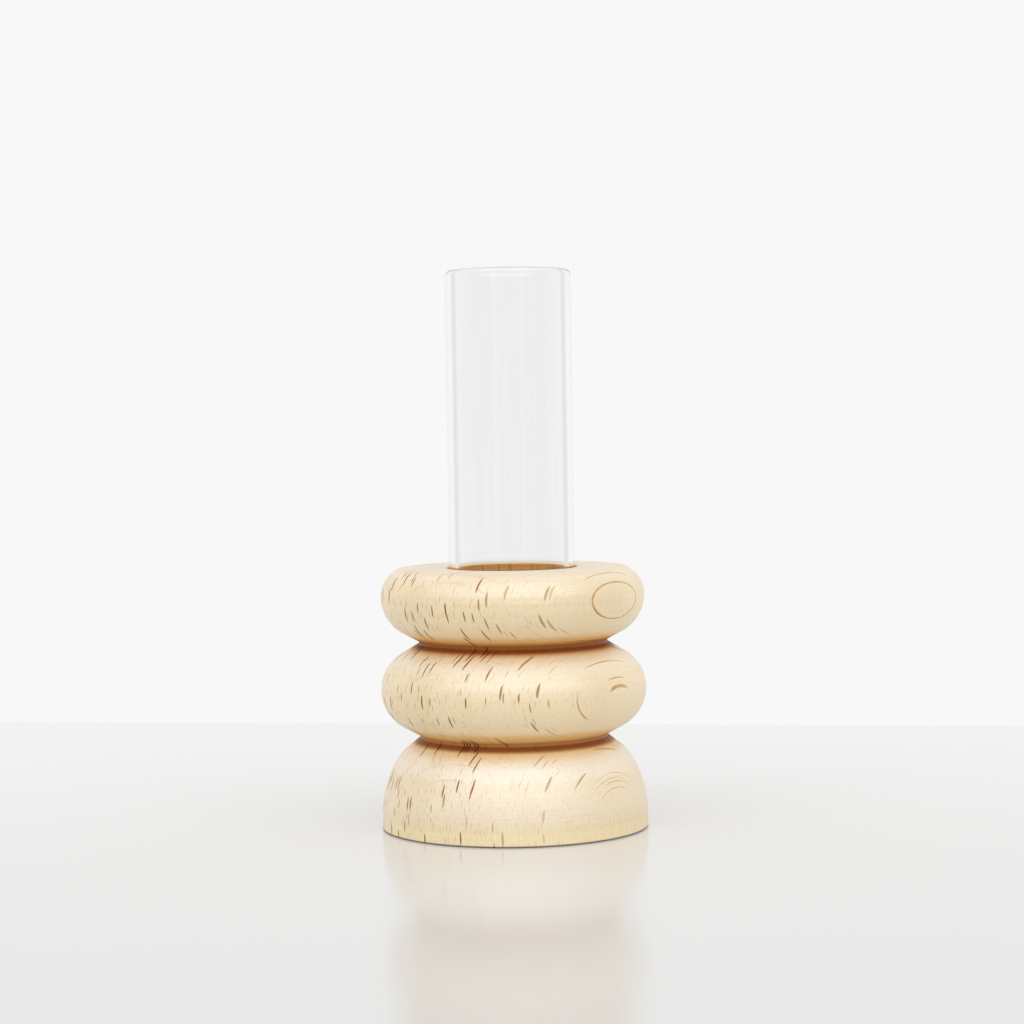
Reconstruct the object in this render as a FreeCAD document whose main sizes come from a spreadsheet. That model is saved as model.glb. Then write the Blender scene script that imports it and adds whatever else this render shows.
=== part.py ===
import FreeCAD, Part
import enum
import math
import os
import Sketcher

# Test tube vase: a turned beech holder and the clear glass tube that stands in its bore.
# Millimetres, +Z up. The origin is the centre of the holder's underside, on the surface it stands on.

SIZES = {
    # Holder, base: a low upright foot wall with a dome above it
    "base_diameter": 63.5,
    "base_height": 22.0,
    "foot_wall_height": 3.1,
    "foot_round": 0.4,
    # Holder, middle bead and top bead, each measured from the neck below it
    "middle_bead_diameter": 63.3,
    "middle_bead_height": 22.4,
    "top_bead_diameter": 62.9,
    "top_bead_height": 17.6,
    "top_edge_round": 1.2,
    # Holder, the wood left round and under the bore
    "neck_wall": 6.6,
    "neck_round": 0.5,
    "floor_thickness": 12.3,
    "bore_edge_round": 0.3,
    # Glass tube
    "tube_diameter": 30.0,
    "tube_length": 120.0,
    "tube_wall": 2.2,
    # Fits
    "bore_clearance": 0.4,
    "seat_gap": 0.3,
    "cut_overrun": 2.0,
}

# Forms of the dome and the beads, as shares of the heights that they fill
SHARES = {
    "shoulder_rise_share": 0.661,
    "shoulder_radius_share": 1.376,
    "crown_radius_share": 0.645,
    "middle_equator_share": 0.495,
    "middle_radius_share": 0.4375,
    "top_equator_share": 0.622,
    "top_lower_radius_share": 0.557,
    "top_upper_radius_share": 0.409,
}

# Places and radii that follow from the sizes
DOME_HEIGHT = "(Sizes.base_height - Sizes.foot_wall_height)"
LOWER_NECK = "Sizes.base_height"
UPPER_NECK = "Sizes.base_height + Sizes.middle_bead_height"
HOLDER_TOP = "Sizes.base_height + Sizes.middle_bead_height + Sizes.top_bead_height"
BORE_RADIUS = "Sizes.tube_diameter / 2 + Sizes.bore_clearance"
NECK_RADIUS = "Sizes.tube_diameter / 2 + Sizes.bore_clearance + Sizes.neck_wall"
TUBE_RADIUS = "Sizes.tube_diameter / 2"
LIP_RADIUS = "Sizes.tube_wall / 2"

FULL_TURN = 360
CLOSE_ENOUGH = 1e-6


class At(enum.IntEnum):
    """The point of an edge that a sketch's constraint takes hold of."""

    START = 1
    END = 2
    CENTRE = 3


class Axis(enum.IntEnum):
    """A sketch's own axes, as its constraints number them."""

    LEVEL = -1
    UPRIGHT = -2


ORIGIN = (Axis.LEVEL, At.START)

doc = FreeCAD.newDocument("TestTubeVase")
sheet = doc.addObject("Spreadsheet::Sheet", "Sizes")


def fill_sheet():
    """Write each size and share to a row of the sheet: its name, then its value under that alias."""
    for row, (name, amount) in enumerate({**SIZES, **SHARES}.items(), start=1):
        sheet.set(f"A{row}", name)
        sheet.set(f"B{row}", str(amount))
        sheet.setAlias(f"B{row}", name)
    doc.recompute()


def value(expression):
    """The number that an expression on the sheet comes to."""
    return float(sheet.evalExpression(expression))


def origin_plane(body, role):
    """One of the body's own origin planes."""
    return next(feature for feature in body.Origin.OriginFeatures if feature.Role == role)


def vector(x, z):
    """A point of a sketch: x is the distance from the turning axis, z the height."""
    return FreeCAD.Vector(x, z, 0)


def facing(angle):
    """The direction at this angle up from level, one long."""
    return vector(math.cos(angle), math.sin(angle))


def on_circle(centre, radius, angle):
    """The point of a circle at this angle."""
    return centre + facing(angle) * radius


class Outline:
    """A closed outline in a body's XZ plane, drawn edge by edge, each from where the last one ended.

    Points are close guesses until the sketch is solved: its constraints, bound to the sheet, place them.
    """

    def __init__(self, body, name):
        self.sketch = body.newObject("Sketcher::SketchObject", name)
        self.sketch.AttachmentSupport = [(origin_plane(body, "XZ_Plane"), "")]
        self.sketch.MapMode = "FlatFace"
        self.last_point = vector(0, 0)
        self.chain = []

    def line_to(self, point):
        """Add a straight edge and give its number."""
        edge = self.sketch.addGeometry(Part.LineSegment(self.last_point, point), False)
        self.chain.append((edge, At.START, At.END))
        self.last_point = point
        return edge

    def arc_to(self, centre, radius, start_angle, end_angle):
        """Add an arc that turns from one angle to the other, and give its number."""
        circle = Part.Circle(centre, FreeCAD.Vector(0, 0, 1), radius)
        low, high = sorted((start_angle, end_angle))
        edge = self.sketch.addGeometry(Part.ArcOfCircle(circle, low, high), False)
        forwards = end_angle > start_angle
        self.chain.append((edge, At.START, At.END) if forwards else (edge, At.END, At.START))
        self.last_point = on_circle(centre, radius, end_angle)
        return edge

    def groove_to(self, meeting, radius, first_angle, second_angle):
        """Add a flank and the small arc that rounds the inner corner between it and the next flank.

        The two would meet at the point given, and each faces out of the wood at its angle. Gives the arc's
        number and the number of a construction point where they would meet.
        """
        first = facing(first_angle)
        second = facing(second_angle)
        centre = meeting + (first + second) * (radius / (1 + first.dot(second)))
        flank = self.line_to(on_circle(centre, radius, first_angle + math.pi))
        arc = self.arc_to(centre, radius, first_angle + math.pi, second_angle + math.pi)
        corner = self.sketch.addGeometry(Part.Point(meeting), True)
        self.tie("PointOnObject", corner, At.START, flank)
        return arc, corner

    def close(self, after_corner):
        """Join each edge to the next, with a corner before the edges named and smoothly before the others."""
        following = self.chain[1:] + self.chain[:1]
        for (edge, _, end), (next_edge, next_start, _) in zip(self.chain, following):
            kind = "Coincident" if next_edge in after_corner else "Tangent"
            self.tie(kind, edge, end, next_edge, next_start)

    def tie(self, kind, *where):
        """Add a geometric constraint."""
        self.sketch.addConstraint(Sketcher.Constraint(kind, *where))

    def bind(self, kind, *where, to):
        """Add a constraint with a size, and bind the size to an expression on the sheet."""
        number = self.sketch.addConstraint(Sketcher.Constraint(kind, *where, value(to)))
        self.sketch.setExpression(f"Constraints[{number}]", to)

    def place(self, edge, end, x=None, z=None):
        """Fix a point's distance from the axis, its height, or both."""
        if x is not None:
            self.bind("DistanceX", *ORIGIN, edge, end, to=x)
        if z is not None:
            self.bind("DistanceY", *ORIGIN, edge, end, to=z)


def turn(body, outline, name):
    """Turn an outline through a full circle about the upright axis."""
    feature = body.newObject("PartDesign::Revolution", name)
    feature.Profile = outline.sketch
    feature.ReferenceAxis = (outline.sketch, ["V_Axis"])
    feature.Angle = FULL_TURN
    doc.recompute()


def circle_edges(shape, radius, height):
    """Names of the round edges about the upright axis at this radius and height."""
    names = []
    for number, edge in enumerate(shape.Edges, start=1):
        if not isinstance(edge.Curve, Part.Circle):
            continue
        centre = edge.Curve.Center
        if max(abs(edge.Curve.Radius - radius), abs(centre.z - height), abs(centre.x)) < CLOSE_ENOUGH:
            names.append(f"Edge{number}")
    return names


def round_edge(body, name, radius_alias, radius, height):
    """Round the edge at this radius and height, by a size from the sheet."""
    base = body.Tip
    fillet = body.newObject("PartDesign::Fillet", name)
    fillet.Base = (base, circle_edges(base.Shape, radius, height))
    fillet.setExpression("Radius", f"Sizes.{radius_alias}")
    doc.recompute()
    assert fillet.Shape.Volume != base.Shape.Volume, f"{name} changed nothing"


def flank_angle(centre, radius, neck):
    """Where a straight flank to a neck leaves a bead's circle, as the angle at the circle's centre."""
    offset = neck - centre
    side = math.acos(radius / offset.Length)
    bearing = math.atan2(offset.y, offset.x)
    return bearing - math.copysign(side, bearing)


# Turned holder


def holder_outline(body):
    """Half section of the block: the domed base, then two beads, with narrow V-shaped necks between them."""
    base_radius = value("Sizes.base_diameter / 2")
    foot_height = value("Sizes.foot_wall_height")
    neck_round = value("Sizes.neck_round")
    lower_neck = vector(value(NECK_RADIUS), value(LOWER_NECK))
    upper_neck = vector(value(NECK_RADIUS), value(UPPER_NECK))
    top = value(HOLDER_TOP)

    outline = Outline(body, "HolderOutline")
    underside = outline.line_to(vector(base_radius, 0))
    foot = outline.line_to(vector(base_radius, foot_height))

    # Dome: a slack shoulder from the foot wall, then a tighter crown that rolls over towards the lower neck
    shoulder_radius = f"Sizes.shoulder_radius_share * {DOME_HEIGHT}"
    shoulder_top = f"Sizes.foot_wall_height + Sizes.shoulder_rise_share * {DOME_HEIGHT}"
    crown_radius = f"Sizes.crown_radius_share * {DOME_HEIGHT}"
    slack = value(shoulder_radius)
    tight = value(crown_radius)
    shoulder_centre = vector(base_radius - slack, foot_height)
    shoulder_end = math.asin((value(shoulder_top) - foot_height) / slack)
    shoulder = outline.arc_to(shoulder_centre, slack, 0, shoulder_end)
    crown_centre = on_circle(shoulder_centre, slack - tight, shoulder_end)
    crown_end = flank_angle(crown_centre, tight, lower_neck)
    crown = outline.arc_to(crown_centre, tight, shoulder_end, crown_end)

    # Middle bead: one round belly between two straight flanks
    middle_equator = f"{LOWER_NECK} + Sizes.middle_equator_share * Sizes.middle_bead_height"
    middle_radius = "Sizes.middle_radius_share * Sizes.middle_bead_height"
    middle_centre_x = f"Sizes.middle_bead_diameter / 2 - {middle_radius}"
    middle_centre = vector(value(middle_centre_x), value(middle_equator))
    belly_start = flank_angle(middle_centre, value(middle_radius), lower_neck)
    belly_end = flank_angle(middle_centre, value(middle_radius), upper_neck)
    lower_groove, lower_corner = outline.groove_to(lower_neck, neck_round, crown_end, belly_start)
    middle_flank = outline.line_to(on_circle(middle_centre, value(middle_radius), belly_start))
    belly = outline.arc_to(middle_centre, value(middle_radius), belly_start, belly_end)

    # Top bead: the belly below its equator, a tighter shoulder above it, and a softened edge to the flat top
    top_equator = f"{UPPER_NECK} + Sizes.top_equator_share * Sizes.top_bead_height"
    lower_radius = "Sizes.top_lower_radius_share * Sizes.top_bead_height"
    upper_radius = "Sizes.top_upper_radius_share * Sizes.top_bead_height"
    lower_centre_x = f"Sizes.top_bead_diameter / 2 - {lower_radius}"
    lower_centre = vector(value(lower_centre_x), value(top_equator))
    upper_centre = vector(value(f"Sizes.top_bead_diameter / 2 - {upper_radius}"), value(top_equator))
    edge_round = value("Sizes.top_edge_round")
    centres_apart = value(upper_radius) - edge_round
    lower_start = flank_angle(lower_centre, value(lower_radius), upper_neck)
    upper_end = math.asin((top - edge_round - upper_centre.y) / centres_apart)
    upper_groove, upper_corner = outline.groove_to(upper_neck, neck_round, belly_end, lower_start)
    top_flank = outline.line_to(on_circle(lower_centre, value(lower_radius), lower_start))
    top_lower = outline.arc_to(lower_centre, value(lower_radius), lower_start, 0)
    top_upper = outline.arc_to(upper_centre, value(upper_radius), 0, upper_end)
    top_edge_centre = on_circle(upper_centre, centres_apart, upper_end)
    top_edge = outline.arc_to(top_edge_centre, edge_round, upper_end, math.pi / 2)
    top_face = outline.line_to(vector(0, top))
    axis = outline.line_to(vector(0, 0))

    outline.close(after_corner=(underside, foot, axis))
    outline.tie("Coincident", underside, At.START, *ORIGIN)
    for edge in (underside, top_face):
        outline.tie("Horizontal", edge)
    for edge in (foot, axis):
        outline.tie("Vertical", edge)

    outline.place(underside, At.END, x="Sizes.base_diameter / 2")
    outline.place(foot, At.END, z="Sizes.foot_wall_height")
    outline.bind("Radius", shoulder, to=shoulder_radius)
    outline.place(shoulder, At.END, z=shoulder_top)
    outline.bind("Radius", crown, to=crown_radius)
    necks = (
        (lower_groove, lower_corner, middle_flank, LOWER_NECK),
        (upper_groove, upper_corner, top_flank, UPPER_NECK),
    )
    for groove, corner, next_flank, height in necks:
        outline.bind("Radius", groove, to="Sizes.neck_round")
        outline.tie("PointOnObject", corner, At.START, next_flank)
        outline.place(corner, At.START, x=NECK_RADIUS, z=height)
    outline.bind("Radius", belly, to=middle_radius)
    outline.place(belly, At.CENTRE, x=middle_centre_x, z=middle_equator)
    outline.bind("Radius", top_lower, to=lower_radius)
    outline.place(top_lower, At.CENTRE, x=lower_centre_x, z=top_equator)
    outline.place(top_lower, At.END, z=top_equator)
    outline.bind("Radius", top_upper, to=upper_radius)
    outline.bind("Radius", top_edge, to="Sizes.top_edge_round")
    outline.place(top_face, At.END, z=HOLDER_TOP)
    return outline


def bore_the_holder(body):
    """Drill the blind, flat-bottomed bore that the tube stands in, from the top face down."""
    solid_block = body.Tip.Shape.Volume
    sketch = body.newObject("Sketcher::SketchObject", "BoreCircle")
    sketch.AttachmentSupport = [(origin_plane(body, "XY_Plane"), "")]
    sketch.MapMode = "FlatFace"
    sketch.setExpression("AttachmentOffset.Base.z", f"{HOLDER_TOP} + Sizes.cut_overrun")
    circle = Part.Circle(vector(0, 0), FreeCAD.Vector(0, 0, 1), value(BORE_RADIUS))
    edge = sketch.addGeometry(circle, False)
    sketch.addConstraint(Sketcher.Constraint("Coincident", edge, At.CENTRE, *ORIGIN))
    radius = sketch.addConstraint(Sketcher.Constraint("Radius", edge, value(BORE_RADIUS)))
    sketch.setExpression(f"Constraints[{radius}]", BORE_RADIUS)
    bore = body.newObject("PartDesign::Pocket", "Bore")
    bore.Profile = sketch
    bore.setExpression("Length", f"{HOLDER_TOP} + Sizes.cut_overrun - Sizes.floor_thickness")
    doc.recompute()
    assert bore.Shape.Volume < solid_block, "the bore cut nothing"


def make_holder():
    body = doc.addObject("PartDesign::Body", "TurnedHolder")
    body.Label = "turned_holder"
    outline = holder_outline(body)
    turn(body, outline, "Turning")
    bore_the_holder(body)

    round_edge(body, "FootRound", "foot_round", value("Sizes.base_diameter / 2"), 0)
    round_edge(body, "BoreEdgeRound", "bore_edge_round", value(BORE_RADIUS), value(HOLDER_TOP))
    body.Placement = FreeCAD.Placement()
    return body


# Glass tube


def tube_outline(body):
    """Half section of the glass: outer and inner walls, a round bottom and a melted, half-round lip."""
    outer = value(TUBE_RADIUS)
    lip = value(LIP_RADIUS)
    inner = value("Sizes.tube_diameter / 2 - Sizes.tube_wall")
    lip_centre = "Sizes.tube_length - Sizes.tube_wall / 2"

    outline = Outline(body, "TubeOutline")
    bottom_centre = vector(0, outer)
    lip_height = value(lip_centre)
    outer_bottom = outline.arc_to(bottom_centre, outer, -math.pi / 2, 0)
    outer_wall = outline.line_to(vector(outer, lip_height))
    lip_arc = outline.arc_to(vector(outer - lip, lip_height), lip, 0, math.pi)
    inner_wall = outline.line_to(vector(inner, outer))
    inner_bottom = outline.arc_to(bottom_centre, inner, 0, -math.pi / 2)
    axis = outline.line_to(vector(0, 0))

    outline.close(after_corner=(outer_bottom, axis))
    outline.tie("Coincident", axis, At.END, *ORIGIN)
    outline.tie("PointOnObject", outer_bottom, At.CENTRE, Axis.UPRIGHT)
    outline.tie("Coincident", inner_bottom, At.CENTRE, outer_bottom, At.CENTRE)
    for edge in (outer_wall, inner_wall, axis):
        outline.tie("Vertical", edge)

    outline.bind("Radius", outer_bottom, to=TUBE_RADIUS)
    outline.bind("Radius", lip_arc, to=LIP_RADIUS)
    outline.place(lip_arc, At.CENTRE, z=lip_centre)
    return outline


def make_tube():
    body = doc.addObject("PartDesign::Body", "GlassTube")
    body.Label = "glass_tube"
    outline = tube_outline(body)
    turn(body, outline, "DrawnTube")
    body.setExpression("Placement.Base.z", "Sizes.floor_thickness + Sizes.seat_gap")
    return body


# The whole vase


def check(bodies):
    """Stop if a feature failed, a sketch is left loose, or a piece isn't one sound solid."""
    for thing in doc.Objects:
        failed = {"Invalid", "Error"} & set(thing.State)
        assert not failed, f"{thing.Name}: {thing.State}"
        if thing.TypeId == "Sketcher::SketchObject":
            assert thing.FullyConstrained, f"{thing.Name} isn't fully constrained"
    for body in bodies:
        shape = body.Shape
        assert not shape.isNull() and shape.isValid(), f"{body.Label} isn't valid"
        assert len(shape.Solids) == 1, f"{body.Label} has {len(shape.Solids)} solids"


def main():
    fill_sheet()
    bodies = [make_holder(), make_tube()]
    doc.recompute()
    check(bodies)
    os.makedirs("parts", exist_ok=True)
    for body in bodies:
        body.Shape.exportStep(f"parts/{body.Label}.step")
        box = body.Shape.optimalBoundingBox(True, False)
        print(f"{body.Label}: {body.Shape.Volume:.1f} mm3")
        print(f"  {box.XLength:.2f} x {box.YLength:.2f} mm, from z {box.ZMin:.2f} to {box.ZMax:.2f}")


main()
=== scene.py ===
import math

import bpy
from mathutils import Matrix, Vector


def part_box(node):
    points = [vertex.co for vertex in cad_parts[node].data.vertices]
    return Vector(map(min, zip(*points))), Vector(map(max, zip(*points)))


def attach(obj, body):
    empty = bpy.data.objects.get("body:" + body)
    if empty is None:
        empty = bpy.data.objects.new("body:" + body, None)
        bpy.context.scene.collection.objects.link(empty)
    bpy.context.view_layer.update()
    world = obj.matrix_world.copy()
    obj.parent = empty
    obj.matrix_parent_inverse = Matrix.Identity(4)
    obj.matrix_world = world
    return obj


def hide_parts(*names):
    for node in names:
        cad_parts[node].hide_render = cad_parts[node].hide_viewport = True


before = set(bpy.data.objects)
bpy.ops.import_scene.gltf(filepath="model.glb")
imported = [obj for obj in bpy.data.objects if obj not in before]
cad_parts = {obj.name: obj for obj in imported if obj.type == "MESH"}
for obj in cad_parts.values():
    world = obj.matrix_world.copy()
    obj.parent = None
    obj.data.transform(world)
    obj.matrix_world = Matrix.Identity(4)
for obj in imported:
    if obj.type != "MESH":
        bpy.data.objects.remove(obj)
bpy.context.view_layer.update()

# A small bud vase: a turned beech holder with a clear glass tube standing in its bore.
# Everything is in metres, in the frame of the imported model: +Z up, -Y towards the viewer.
MM = 0.001
PHOTO_WIDTH = 1024

# The camera, worked out from the ellipses of the base, the bore and the rim
FOCAL_LENGTH_PX = 2408.3
SENSOR_WIDTH = 36.0
CAMERA_DISTANCE = 574.2 * MM
CAMERA_HEIGHT = 96.6 * MM
CAMERA_ACROSS = 0.2 * MM
CAMERA_PITCH_DOWN = math.radians(2.145)
CAMERA_ROLL = math.radians(0.85)

# The table that the vase stands on, a little paler towards its back edge; its colour carries painted shade
# that darkens it towards the viewer
TABLE_BACK_EDGE = 193 * MM
TABLE_PAINTED_SHADE_FROM = -190 * MM
TABLE_TURN = math.radians(8.4)
TABLE_WIDTH = 2.4
TABLE_DEPTH = 1.4
TABLE_FRONT_PAINTED_SHADE = (0.70, 0.70, 0.695, 1)
TABLE_BACK = (0.82, 0.82, 0.815, 1)
TABLE_MOTTLE_PER_METRE = 30
TABLE_IOR = 1.55

# The room. Its windows and corners are placed by their turn from straight in front of the vase, in degrees
WALL_GREY = 0.9387
WHITE = (1, 1, 1, 1)
DAYLIGHT = (0.68, 0.95, 1.5, 1)
DAYLIGHT_STRENGTH = 1.3
LEFT_WINDOW = -26
RIGHT_WINDOW = 24
ROOM_CORNERS = 132
MIRRORED_FRONT_GREY = 0.35
FRONT_GREY_THROUGH_GLASS = 0.7

# The glass tube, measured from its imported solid
tube_low, tube_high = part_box("glass_tube")
TUBE_RADIUS = (tube_high[0] - tube_low[0]) / 2
TUBE_BOTTOM_CENTRE = tube_low[2] + TUBE_RADIUS
TUBE_WALL = 2.2 * MM
TUBE_SIDES = 192
TUBE_BOTTOM_RINGS = 96
LIP_STEPS = 12
# Just under half the wall from each side, so that the lip is fully round
LIP_SHARE = 0.498
# A short ring at each end of the straight wall keeps the shading of the bottom and the lip off it
WALL_STEP = 0.5 * MM
SAME_POINT = 0.001 * MM
SAME_HEIGHT = 0.01 * MM
SAME_RADIUS = 0.1 * MM

# The clear glass
GLASS_TINT = (0.97, 0.975, 0.97, 1)
GLASS_SHADOW = (0.86, 0.86, 0.86, 1)
GLASS_IOR = 1.47
# Light that has bounced this often inside the glass leaves it, where it would else be lost as a dark line
CAUGHT_BOUNCES = 3

# The turned holder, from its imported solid
holder_low, holder_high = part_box("turned_holder")
HOLDER_RADIUS = (holder_high[0] - holder_low[0]) / 2

# The wood's patterns are in millimetres, from the middle of the underside
TOP_FACE = holder_high[2] / MM
BORE_RADIUS = 15.4
GRAIN_TURN = math.radians(39)
GRAIN_LEAN = math.radians(1.0)
TOWARDS_PITH = math.radians(8.69)
YEAR_WIDTH = 2.35
RELIEF_DEPTH = 0.02 * MM

# Heights between which the zones of the turned shape start and end
TOP_SLOPE_START = (57, 58.5)
MIDDLE_SLOPE_START = (36, 38)
MIDDLE_SLOPE_END = (45, 44)
BASE_SLOPE_START = (13, 15)
BASE_SLOPE_END = (23, 22)
FOOT_EDGE = (3.9, 2.6)
MOUTH_OF_BORE = (55, 60)
CREASE_HEIGHTS = (43.9, 21.2)

# How large each pattern is across, along and up the grain
SWAY_SIZE = (30, 30, 22)
TONE_SIZE = (14, 20, 45)
FIBRE_SIZE = (0.18, 0.4, 7)
PORE_SIZE = (0.12, 0.12, 1.4)
PATCH_SIZE = (9, 9, 9)
UNEVEN_LINE_SIZE = (3, 3, 3)
BORE_STREAK_SIZE = (1.1, 1.1, 30)
BOLD_FLECK_SPACING = (0.9, 24, 7)
FINE_FLECK_SPACING = (0.42, 18, 3.4)
FLECK_SHARE = 0.28
TURNING_STEP = 0.35

# The growth rings that show as single lines: each one's place across, along and up the grain, and its reach
RING_SHEETS = (
    ((31.05, -0.1, 55.2), (0.13, 14, 8)),
    ((29.05, 0.2, 61), (0.14, 13, 2)),
    ((31.85, -0.2, 35.4), (0.11, 6, 2.5)),
    ((31.22, -0.2, 37), (0.07, 5, 1.3)),
    ((28.35, -1.2, 40.6), (0.14, 11, 2)),
    ((29.35, -10.6, 31), (0.12, 3.5, 5)),
    ((29.1, 1, 13.5), (0.03, 9, 5)),
    ((29.6, -2, 12), (0.025, 8, 6)),
    ((29.95, 1, 12), (0.035, 6, 4)),
    ((30.45, -1, 11), (0.03, 7, 4)),
    ((27.6, -10, 13.8), (0.12, 4, 3)),
    ((-29.7, 1.5, 54.6), (0.12, 12, 7)),
    ((-30.5, 1.2, 33), (0.11, 8, 5)),
    ((-28.9, 2, 38.5), (0.12, 11, 3)),
    ((-29.8, -1, 11), (0.10, 11, 7)),
)

# The colours of the wood, with some painted highlight, light and shade
DARKER_BEECH = (0.80, 0.635, 0.36, 1)
PALER_BEECH = (0.865, 0.70, 0.42, 1)
SLOPE_BEECH = (0.89, 0.66, 0.44, 1)
# A paler colour, painted as a highlight on the upper slopes and low on the base
PAINTED_HIGHLIGHT_BEECH = (0.875, 0.785, 0.645, 1)
# Painted light: the upright foot is yellower, as it looks where it mirrors no sky
FOOT_PAINTED_LIGHT_BEECH = (0.91, 0.75, 0.39, 1)
END_GRAIN_BEECH = (0.80, 0.66, 0.46, 1)
BORE_BEECH = (0.66, 0.46, 0.25, 1)
# Painted light: the bore's mouth is a saturated orange, standing in for warm light bounced between the bore's
# walls
BORE_MOUTH_PAINTED_WARM_LIGHT = (0.88, 0.37, 0.02, 1)
BORE_STREAK_BROWN = (0.62, 0.22, 0.01, 1)
FIBRE_BROWN = (0.72, 0.50, 0.24, 1)
PORE_BROWN = (0.56, 0.33, 0.12, 1)
TURNING_BROWN = (0.70, 0.50, 0.25, 1)
# Painted shade that darkens the slopes into the necks, the necks themselves and the crease at each neck's
# bottom
DEEP_SLOPE_PAINTED_SHADE = (0.84, 0.48, 0.09, 1)
NECK_PAINTED_SHADE = (0.50, 0.17, 0.03, 1)
CREASE_PAINTED_SHADE = (0.22, 0.05, 0.006, 1)
# Painted shadow: the thin dark line where the foot meets the table
CONTACT_PAINTED_SHADOW = (0.10, 0.03, 0.02, 1)

# What the wood's colour is multiplied by at each kind of mark
LATE_WOOD_STAIN = (0.80, 0.60, 0.36, 1)
BOLD_FLECK_STAIN = (0.36, 0.16, 0.01, 1)
FINE_FLECK_STAIN = (0.55, 0.38, 0.10, 1)
RING_LINE_STAIN = (0.58, 0.36, 0.04, 1)

# The satin varnish over the wood
WOOD_IOR = 1.3
VARNISH_IOR = 2.15
VARNISH_ROUGHNESS = 0.46


class Wired:
    """A socket of a node tree, so that what is worked out from it is written as a plain sum."""

    def __init__(self, tree, socket=None):
        self.tree = tree
        self.socket = socket

    def node(self, kind, settings=None, inputs=None, output=0):
        """Adds a node: its settings first, then a value or a link for each socket that is given."""
        made = self.tree.nodes.new(kind)
        for name, setting in (settings or {}).items():
            setattr(made, name, setting)
        for name, given in (inputs or {}).items():
            if isinstance(given, Wired):
                self.tree.links.new(given.socket, made.inputs[name])
            else:
                made.inputs[name].default_value = given
        return Wired(self.tree, made.outputs[output] if made.outputs else None)

    def maths(self, operation, *others):
        return self.node("ShaderNodeMath", {"operation": operation}, dict(enumerate((self, *others))))

    def swapped(self, operation, first):
        return self.node("ShaderNodeMath", {"operation": operation}, {0: first, 1: self})

    def __add__(self, other):
        return self.maths("ADD", other)

    def __radd__(self, other):
        return self.maths("ADD", other)

    def __sub__(self, other):
        return self.maths("SUBTRACT", other)

    def __rsub__(self, other):
        return self.swapped("SUBTRACT", other)

    def __mul__(self, other):
        return self.maths("MULTIPLY", other)

    def __rmul__(self, other):
        return self.maths("MULTIPLY", other)

    def __truediv__(self, other):
        return self.maths("DIVIDE", other)

    def __rtruediv__(self, other):
        return self.swapped("DIVIDE", other)

    def size(self):
        return self.maths("ABSOLUTE")

    def larger(self, other):
        return self.maths("MAXIMUM", other)

    def vectors(self, operation, *others, output=0):
        inputs = dict(enumerate((self, *others)))
        return self.node("ShaderNodeVectorMath", {"operation": operation}, inputs, output)

    def other_output(self, name):
        """Another output of the node that the socket belongs to."""
        return Wired(self.tree, self.socket.node.outputs[name])

    def parts(self):
        """The three numbers of a place or a colour."""
        split = self.node("ShaderNodeSeparateXYZ", inputs={0: self})
        return [Wired(self.tree, socket) for socket in split.socket.node.outputs]

    def rise(self, start, end):
        """0 up to start, 1 from end on, and a smooth step between them; it falls where end is less."""
        inputs = {"Value": self, "From Min": min(start, end), "From Max": max(start, end)}
        if end < start:
            inputs.update({"To Min": 1.0, "To Max": 0.0})
        return self.node("ShaderNodeMapRange", {"interpolation_type": "SMOOTHSTEP"}, inputs)

    def noise(self, detail=2.0):
        """Cloudy noise about one unit across, from 0 to 1, at the place that the socket gives."""
        inputs = {"Vector": self, "Scale": 1.0, "Detail": detail, "Roughness": 0.5}
        return self.node("ShaderNodeTexNoise", {"noise_dimensions": "3D"}, inputs)

    def mixed(self, first, second, blend="MIX"):
        """The first colour where the socket is 0, the second where it is 1."""
        settings = {"data_type": "RGBA", "blend_type": blend}
        return self.node("ShaderNodeMix", settings, {0: self, 6: first, 7: second}, output=2)

    def shader_where(self, inside, outside):
        """One shader where the socket is 1, the other where it is 0."""
        return self.node("ShaderNodeMixShader", inputs={0: self, 1: outside, 2: inside})


def new_material(name):
    material = bpy.data.materials.new(name)
    material.use_nodes = True
    material.node_tree.nodes.clear()
    return material, Wired(material.node_tree)


def finish_material(start, shader):
    start.node("ShaderNodeOutputMaterial", inputs={"Surface": shader})


def add_camera():
    data = bpy.data.cameras.new("photo_camera")
    data.sensor_width = SENSOR_WIDTH
    data.lens = FOCAL_LENGTH_PX * SENSOR_WIDTH / PHOTO_WIDTH
    camera = bpy.data.objects.new("photo_camera", data)
    bpy.context.collection.objects.link(camera)
    place = Matrix.Translation((CAMERA_ACROSS, -CAMERA_DISTANCE, CAMERA_HEIGHT))
    pitch = Matrix.Rotation(math.radians(90) - CAMERA_PITCH_DOWN, 4, "X")
    roll = Matrix.Rotation(-CAMERA_ROLL, 4, "Z")
    camera.matrix_world = place @ pitch @ roll
    bpy.context.scene.camera = camera
    bpy.context.scene.view_settings.view_transform = "Standard"


def table_paint():
    material, start = new_material("pale_table_top")
    place = start.node("ShaderNodeTexCoord", output="Object")
    mottle = place.vectors("MULTIPLY", [TABLE_MOTTLE_PER_METRE] * 3).noise(detail=3)
    # Painted shade: the colour darkens from the back edge towards the viewer
    depth = place.parts()[1].rise(TABLE_PAINTED_SHADE_FROM, TABLE_BACK_EDGE)
    shader = start.node("ShaderNodeBsdfPrincipled", inputs={
        "Base Color": depth.mixed(TABLE_FRONT_PAINTED_SHADE, TABLE_BACK),
        "Roughness": 0.13 + 0.04 * mottle,
        "IOR": TABLE_IOR,
    })
    finish_material(start, shader)
    return material


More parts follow.
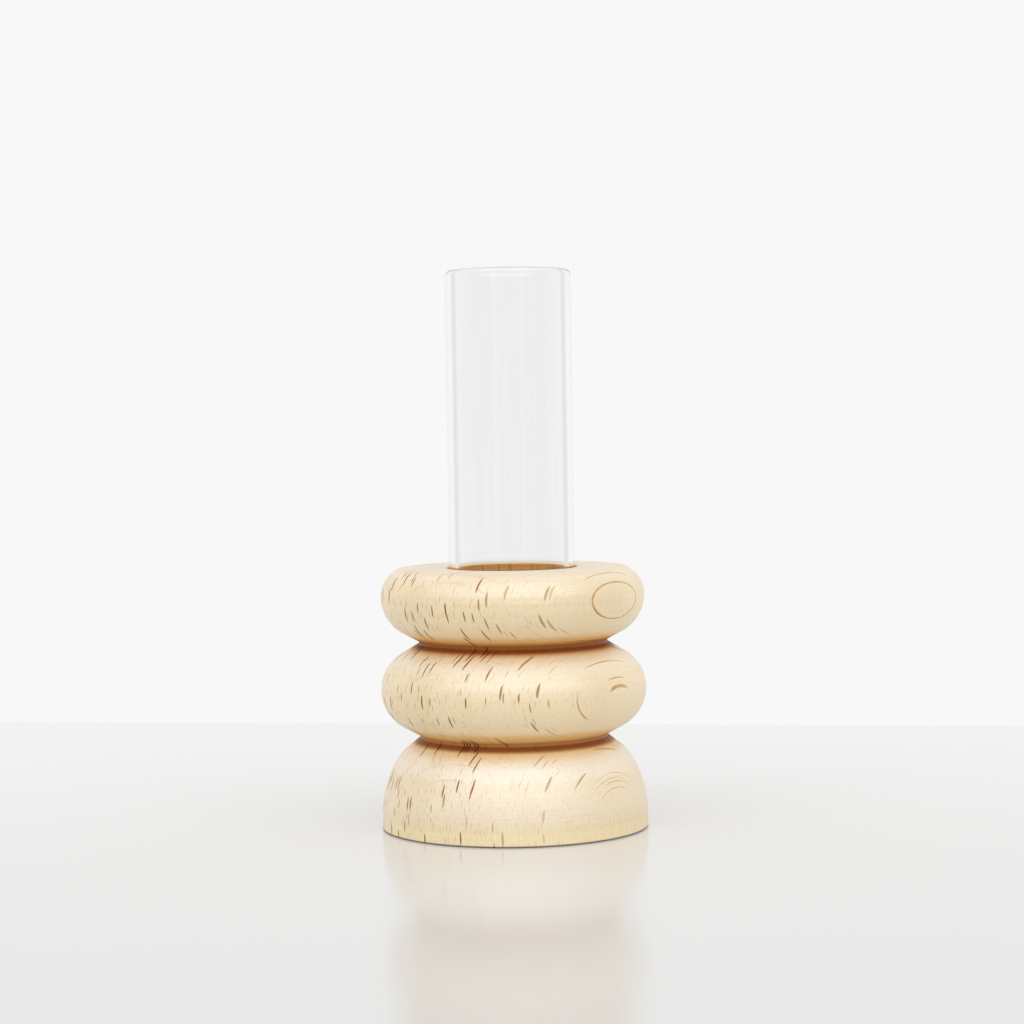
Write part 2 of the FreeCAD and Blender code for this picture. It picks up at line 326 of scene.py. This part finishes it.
def add_table():
    bpy.ops.object.select_all(action="DESELECT")
    bpy.ops.mesh.primitive_plane_add(size=1)
    table = bpy.context.object
    table.name = "table_top"
    turn = Matrix.Rotation(-TABLE_TURN, 4, "Z")
    edge = Matrix.Translation((0, TABLE_BACK_EDGE, 0))
    middle = Matrix.Translation((0, -TABLE_DEPTH / 2, 0))
    table.matrix_world = edge @ turn @ middle @ Matrix.Diagonal((TABLE_WIDTH, TABLE_DEPTH, 1, 1))
    bpy.ops.object.transform_apply(location=True, rotation=True, scale=True)
    table.data.materials.append(table_paint())


def even_light(start, strength, colour=WHITE):
    return start.node("ShaderNodeBackground", inputs={"Color": colour, "Strength": strength})


def light_of_room(start, across, up):
    """What lights the table and the wood: more from the two sides, and from low down."""
    return even_light(start, 0.64 + 0.58 * across * across + 0.26 * up.rise(0.5, 0.1))


def room_mirrored(start, turn, away, up):
    """What gloss mirrors: the pale wall, a darker front with two windows and glints, and daylight above."""
    windows = (turn - LEFT_WINDOW).size().rise(6, 2) + (turn - RIGHT_WINDOW).size().rise(5, 2)
    glints = start.node("ShaderNodeCombineXYZ", inputs={0: turn / 4, 1: 20 * up}).noise().rise(0.5, 0.75)
    level = (up - 0.03).size().rise(0.2, 0.05)
    streaks = (0.55 * windows + 1.1 * glints) * level * away.rise(0, -0.3)
    wall = MIRRORED_FRONT_GREY + away.rise(-0.3, 0.4) * (WALL_GREY - MIRRORED_FRONT_GREY)
    daylight = away.rise(0.1, -0.6) * up.rise(0.05, 0.55)
    return start.node("ShaderNodeAddShader", inputs={
        0: even_light(start, wall + streaks),
        1: even_light(start, DAYLIGHT_STRENGTH * daylight, DAYLIGHT),
    })


def room_through_glass(start, turn, away, up):
    """What glass bends into view: the pale wall, a greyer front, two dark corners and a bright ceiling."""
    wall = FRONT_GREY_THROUGH_GLASS + away.rise(-0.2, 0.3) * (WALL_GREY - FRONT_GREY_THROUGH_GLASS)
    corners = (turn.size() - ROOM_CORNERS).size().rise(18, 4)
    return even_light(start, wall - 0.17 * corners + 0.3 * up.rise(0.2, 0.6))


def add_room():
    world = bpy.data.worlds.new("pale_room")
    bpy.context.scene.world = world
    world.use_nodes = True
    world.node_tree.nodes.clear()
    start = Wired(world.node_tree)
    rays = start.node("ShaderNodeLightPath")
    across, away, up = start.node("ShaderNodeTexCoord", output="Generated").parts()
    turn = across.maths("ARCTAN2", 0 - away) * (180 / math.pi)
    backdrop = even_light(start, 1.0, (WALL_GREY, WALL_GREY, WALL_GREY, 1))
    light = light_of_room(start, across, up)
    light = rays.other_output("Is Glossy Ray").shader_where(room_mirrored(start, turn, away, up), light)
    through = rays.other_output("Is Transmission Ray")
    light = through.shader_where(room_through_glass(start, turn, away, up), light)
    light = rays.other_output("Is Camera Ray").shader_where(backdrop, light)
    start.node("ShaderNodeOutputWorld", inputs={"Surface": light})


def add_softbox(name, turn, height_angle, distance, width, height, brightness):
    """A soft lamp that faces the vase; turn is from straight in front towards the right, in degrees."""
    data = bpy.data.lights.new(name, "AREA")
    data.shape = "RECTANGLE"
    data.size = width
    data.size_y = height
    data.energy = brightness * math.pi * width * height
    lamp = bpy.data.objects.new(name, data)
    bpy.context.collection.objects.link(lamp)
    aim = Matrix.Translation((0, 0, HOLDER_RADIUS))
    aside = Matrix.Rotation(math.radians(turn), 4, "Z")
    raised = Matrix.Rotation(math.radians(-height_angle), 4, "X")
    back = Matrix.Translation((0, -distance, 0))
    facing = Matrix.Rotation(math.radians(90), 4, "X")
    lamp.matrix_world = aim @ aside @ raised @ back @ facing
    lamp.visible_camera = False


def pick_none(piece, kind):
    """Makes a piece the active one, with none of its faces or edges picked."""
    bpy.context.view_layer.objects.active = piece
    piece.select_set(True)
    bpy.ops.object.mode_set(mode="EDIT")
    bpy.ops.mesh.select_mode(type=kind)
    bpy.ops.mesh.select_all(action="DESELECT")
    bpy.ops.object.mode_set(mode="OBJECT")


def pick_level_edges(piece, height):
    """Picks the edges that lie round the piece at one height."""
    pick_none(piece, "EDGE")
    points = piece.data.vertices
    for edge in piece.data.edges:
        first, second = [points[index].co for index in edge.vertices]
        level = abs(first.z - height) < SAME_HEIGHT and abs(second.z - height) < SAME_HEIGHT
        round_the_piece = abs(first.xy.length - second.xy.length) < SAME_RADIUS
        edge.select = level and round_the_piece


def glass_paint():
    material, start = new_material("clear_glass")
    glass = start.node("ShaderNodeBsdfPrincipled", inputs={
        "Base Color": GLASS_TINT,
        "Roughness": 0.0,
        "IOR": GLASS_IOR,
        "Transmission Weight": 1.0,
    })
    shadow = start.node("ShaderNodeLightPath", output="Is Shadow Ray")
    caught = shadow.other_output("Glossy Depth").maths("GREATER_THAN", CAUGHT_BOUNCES)
    clear = start.node("ShaderNodeBsdfTransparent", inputs={"Color": GLASS_SHADOW})
    finish_material(start, shadow.larger(caught).shader_where(clear, glass))
    return material


def draw_tube_skin():
    """The lower half of a sphere, with its open edge drawn up into the outside of the tube."""
    bpy.ops.object.select_all(action="DESELECT")
    centre = (0, 0, TUBE_BOTTOM_CENTRE)
    bpy.ops.mesh.primitive_uv_sphere_add(
        segments=TUBE_SIDES, ring_count=TUBE_BOTTOM_RINGS, radius=TUBE_RADIUS, location=centre)
    tube = bpy.context.object
    tube.name = "lipped_glass_tube"
    bpy.ops.object.transform_apply(location=True, rotation=True, scale=True)
    pick_none(tube, "FACE")
    for face in tube.data.polygons:
        face.select = face.center.z > TUBE_BOTTOM_CENTRE
    bpy.ops.object.mode_set(mode="EDIT")
    bpy.ops.mesh.delete(type="FACE")
    pick_level_edges(tube, TUBE_BOTTOM_CENTRE)
    bpy.ops.object.mode_set(mode="EDIT")
    length = tube_high[2] - TUBE_BOTTOM_CENTRE
    for rise in (WALL_STEP, length - TUBE_WALL - 2 * WALL_STEP, TUBE_WALL + WALL_STEP):
        bpy.ops.mesh.extrude_region_move(TRANSFORM_OT_translate={"value": (0, 0, rise)})
    bpy.ops.mesh.select_all(action="SELECT")
    bpy.ops.mesh.remove_doubles(threshold=SAME_POINT)
    bpy.ops.mesh.normals_make_consistent(inside=False)
    bpy.ops.object.mode_set(mode="OBJECT")
    return tube


def give_wall(tube):
    wall = tube.modifiers.new("wall", "SOLIDIFY")
    wall.thickness = TUBE_WALL
    wall.offset = -1
    wall.use_even_offset = True
    bpy.ops.object.modifier_apply(modifier=wall.name)


def round_lip(tube):
    pick_level_edges(tube, tube_high[2])
    bpy.ops.object.mode_set(mode="EDIT")
    bpy.ops.mesh.bevel(offset=LIP_SHARE * TUBE_WALL, segments=LIP_STEPS, profile=0.5, clamp_overlap=True)
    bpy.ops.object.mode_set(mode="OBJECT")


def make_tube():
    tube = draw_tube_skin()
    give_wall(tube)
    round_lip(tube)
    bpy.ops.object.shade_smooth()
    tube.data.materials.append(glass_paint())
    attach(tube, "tube")
    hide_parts("glass_tube")


class Wood:
    """Where a point of the wood lies, in millimetres, on the vase's axes and on those of its grain."""

    def __init__(self, start):
        place = start.node("ShaderNodeTexCoord", output="Object").vectors("MULTIPLY", [1 / MM] * 3)
        turned_to_grain = {"Vector": place, "Rotation": (0, GRAIN_LEAN, GRAIN_TURN)}
        self.grain = start.node("ShaderNodeMapping", inputs=turned_to_grain)
        x, y, self.z = place.parts()
        self.radius = (x * x + y * y).maths("SQRT")
        self.sway = self.clouds(SWAY_SIZE, detail=1)
        across, along, up = self.grain.parts()
        self.inward = math.sin(TOWARDS_PITH) * across - math.cos(TOWARDS_PITH) * along
        self.across = across + 1.2 * (self.sway - 0.5)
        self.swayed = start.node("ShaderNodeCombineXYZ", inputs={0: self.across, 1: along, 2: up})
        self.fibre = self.clouds(FIBRE_SIZE, detail=3)
        tool_steps = {0: self.radius / TURNING_STEP, 1: self.z / TURNING_STEP}
        self.turned = start.node("ShaderNodeCombineXYZ", inputs=tool_steps).noise(detail=1)
        self.set_zones()

    def set_zones(self):
        """Masks for the zones of the turned shape."""
        z = self.z
        on_middle_bead = z.rise(*MIDDLE_SLOPE_START) * z.rise(*MIDDLE_SLOPE_END)
        on_base = z.rise(*BASE_SLOPE_START) * z.rise(*BASE_SLOPE_END)
        self.upper_slopes = z.rise(*TOP_SLOPE_START) + on_middle_bead + on_base
        self.depth = self.radius + 2.0 * self.upper_slopes
        self.top_face = z.rise(TOP_FACE - 1, TOP_FACE - 0.2)
        self.below_top = z.rise(TOP_FACE - 0.2, TOP_FACE - 1)
        self.outside = z.rise(60, 56) * self.radius.rise(BORE_RADIUS + 0.6, BORE_RADIUS + 2.6)
        self.bore = self.radius.rise(BORE_RADIUS + 0.6, BORE_RADIUS + 0.2)

    def clouds(self, size, detail=2):
        """Cloudy noise, its clouds of that size across, along and up the grain."""
        return self.grain.vectors("DIVIDE", size).noise(detail)

    def ray_flecks(self, spacing, shift, few, many):
        """Thin lenses along the grain, at most one in each cell of that spacing, some strong, some faint."""
        cells = self.swayed.vectors("ADD", [shift] * 3).vectors("DIVIDE", spacing)
        settings = {"voronoi_dimensions": "3D", "feature": "F1"}
        inputs = {"Vector": cells, "Scale": 1.0, "Randomness": 0.85}
        found = self.swayed.node("ShaderNodeTexVoronoi", settings, inputs)
        chance = found.other_output("Color").parts()[0]
        return found.rise(FLECK_SHARE, 0.7 * FLECK_SHARE) * chance.rise(few, many)

    def ring_sheet(self, place, reach):
        """One thin sheet of the grain at a chosen place, fading out at its edges."""
        offset = self.grain.vectors("SUBTRACT", place).vectors("DIVIDE", reach)
        return offset.vectors("LENGTH", output="Value").rise(1.0, 0.6)


def ground_colour(wood):
    """Cloudy beech, redder towards the necks, and paler on the upper slopes and low on the base as a painted
    highlight.
    """
    colour = wood.clouds(TONE_SIZE).rise(0.3, 0.7).mixed(DARKER_BEECH, PALER_BEECH)
    colour = (0.55 * wood.depth.rise(30.5, 24.5)).mixed(colour, SLOPE_BEECH)
    # Painted highlight: paler on the upper slopes below the top face, and on a band low on the base
    painted_highlight = 0.6 * wood.upper_slopes * wood.radius.rise(31, 28) * wood.below_top
    painted_highlight = painted_highlight + 0.3 * wood.z.rise(3, 6) * wood.z.rise(16, 9)
    return painted_highlight.mixed(colour, PAINTED_HIGHLIGHT_BEECH)


def with_fine_grain(wood, colour):
    """Fibres, pores and the faint rings that the turning tool left."""
    colour = (0.50 * wood.fibre.rise(0.45, 0.75)).mixed(colour, FIBRE_BROWN)
    pores = wood.clouds(PORE_SIZE, detail=1)
    colour = (0.50 * pores.rise(0.52, 0.75)).mixed(colour, PORE_BROWN)
    return (0.25 * wood.turned.rise(0.45, 0.72)).mixed(colour, TURNING_BROWN)


def with_foot_and_top(wood, colour):
    # Painted light: a yellower band on the upright foot, where it mirrors no sky
    colour = (0.35 * wood.z.rise(*FOOT_EDGE)).mixed(colour, FOOT_PAINTED_LIGHT_BEECH)
    return (0.50 * wood.top_face).mixed(colour, END_GRAIN_BEECH)


def with_late_wood(wood, colour):
    """The dark edge of each year's growth, which shows as faint arcs on the upper slopes."""
    year = (wood.inward / YEAR_WIDTH + 0.35 + 0.5 * wood.sway).maths("FRACT")
    late_wood = year.rise(0.82, 0.96) * year.rise(1.0, 0.98)
    patches = wood.clouds(PATCH_SIZE).rise(0.35, 0.6)
    late_wood = late_wood * patches * wood.upper_slopes * wood.across.rise(20, 12)
    return (0.5 * late_wood).mixed(colour, LATE_WOOD_STAIN, "MULTIPLY")


def with_painted_neck_shade(wood, colour):
    """Painted shade: the slopes darken into each neck, with a thin dark crease at its bottom."""
    colour = (0.6 * wood.outside * wood.depth.rise(29, 25)).mixed(colour, DEEP_SLOPE_PAINTED_SHADE)
    necks = wood.outside * (wood.radius + wood.z.rise(27, 25)).rise(25.8, 22.8)
    colour = (0.92 * necks).mixed(colour, NECK_PAINTED_SHADE)
    # Painted shade: a thin dark crease at the bottom of each neck
    upper, lower = [(wood.z - height).size().rise(1.1, 0.2) for height in CREASE_HEIGHTS]
    crease_shade = (0.6 + 0.5 * wood.fibre) * wood.outside * wood.radius.rise(26, 24.5) * (upper + lower)
    return crease_shade.mixed(colour, CREASE_PAINTED_SHADE)


def fleck_masks(wood):
    """The bold and the fine ray flecks: strongest on the left, none where the rings lie in the surface."""
    across = wood.across
    on_side = across.rise(29, 23) * (1 - 0.6 * wood.top_face) * (0.85 + 0.6 * across.rise(16, 1))
    fewer_on_base = 1 - 0.4 * wood.z.rise(24, 18) * across.rise(8, 16)
    on_side = on_side * fewer_on_base * across.rise(-28.5, -24.5)
    bold = wood.ray_flecks(BOLD_FLECK_SPACING, shift=3.7, few=0.28, many=0.6) * on_side
    fine = wood.ray_flecks(FINE_FLECK_SPACING, shift=51.3, few=0.2, many=0.7) * on_side
    return bold, fine


def ring_line_mask(wood):
    """The rings that lie nearly in the surface and show as single ovals and arcs, uneven in strength."""
    lines = 0.0
    for place, reach in RING_SHEETS:
        lines = wood.ring_sheet(place, reach).larger(lines)
    return lines * (0.3 + 1.2 * wood.clouds(UNEVEN_LINE_SIZE))


def with_bore_and_contact_shadow(wood, colour):
    mouth = wood.z.rise(*MOUTH_OF_BORE)
    streaks = (0.5 + 0.5 * mouth) * wood.clouds(BORE_STREAK_SIZE).rise(0.48, 0.66)
    # Painted light: the bore's wall turns saturated orange towards its mouth, for warm light bounced inside
    # it
    wall = mouth.mixed(BORE_BEECH, BORE_MOUTH_PAINTED_WARM_LIGHT)
    colour = wood.bore.mixed(colour, streaks.mixed(wall, BORE_STREAK_BROWN))
    # Painted shadow: the underside and the lowest edge of the foot are darkened where they meet the table
    return (0.9 * wood.z.rise(0.5, 0.3)).mixed(colour, CONTACT_PAINTED_SHADOW)


def beech_paint():
    """Satin beech, unvarnished in the necks, in the bore and over its darkest marks."""
    material, start = new_material("satin_beech")
    wood = Wood(start)
    bold, fine = fleck_masks(wood)
    lines = ring_line_mask(wood)

    colour = ground_colour(wood)
    colour = with_fine_grain(wood, colour)
    colour = with_foot_and_top(wood, colour)
    colour = with_late_wood(wood, colour)
    colour = with_painted_neck_shade(wood, colour)
    colour = (0.95 * bold).mixed(colour, BOLD_FLECK_STAIN, "MULTIPLY")
    colour = (0.5 * fine).mixed(colour, FINE_FLECK_STAIN, "MULTIPLY")
    colour = (0.9 * lines).mixed(colour, RING_LINE_STAIN, "MULTIPLY")
    colour = with_bore_and_contact_shadow(wood, colour)

    relief = 0.45 * wood.turned + 0.5 * wood.fibre - 0.6 * bold - 0.3 * fine
    in_necks = wood.outside * (wood.radius + wood.upper_slopes).rise(27.5, 24.5)
    unvarnished = in_necks.larger(wood.bore).larger(bold.rise(0.0, 0.4)).larger(0.8 * lines)
    bump = start.node("ShaderNodeBump", inputs={"Strength": 0.35, "Distance": RELIEF_DEPTH, "Height": relief})
    shader = start.node("ShaderNodeBsdfPrincipled", inputs={
        "Base Color": colour,
        "Roughness": 0.40 + 0.10 * wood.fibre,
        "IOR": WOOD_IOR,
        "Coat Weight": 1.0 - unvarnished,
        "Coat Roughness": VARNISH_ROUGHNESS,
        "Coat IOR": VARNISH_IOR,
        "Normal": bump,
    })
    finish_material(start, shader)
    return material


def finish_holder():
    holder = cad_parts["turned_holder"]
    wood = beech_paint()
    for slot in holder.material_slots:
        slot.material = wood


add_camera()
add_table()
add_room()
add_softbox("front_softbox", turn=1, height_angle=46, distance=1.5, width=3.6, height=1.5, brightness=0.89)
finish_holder()
make_tube()
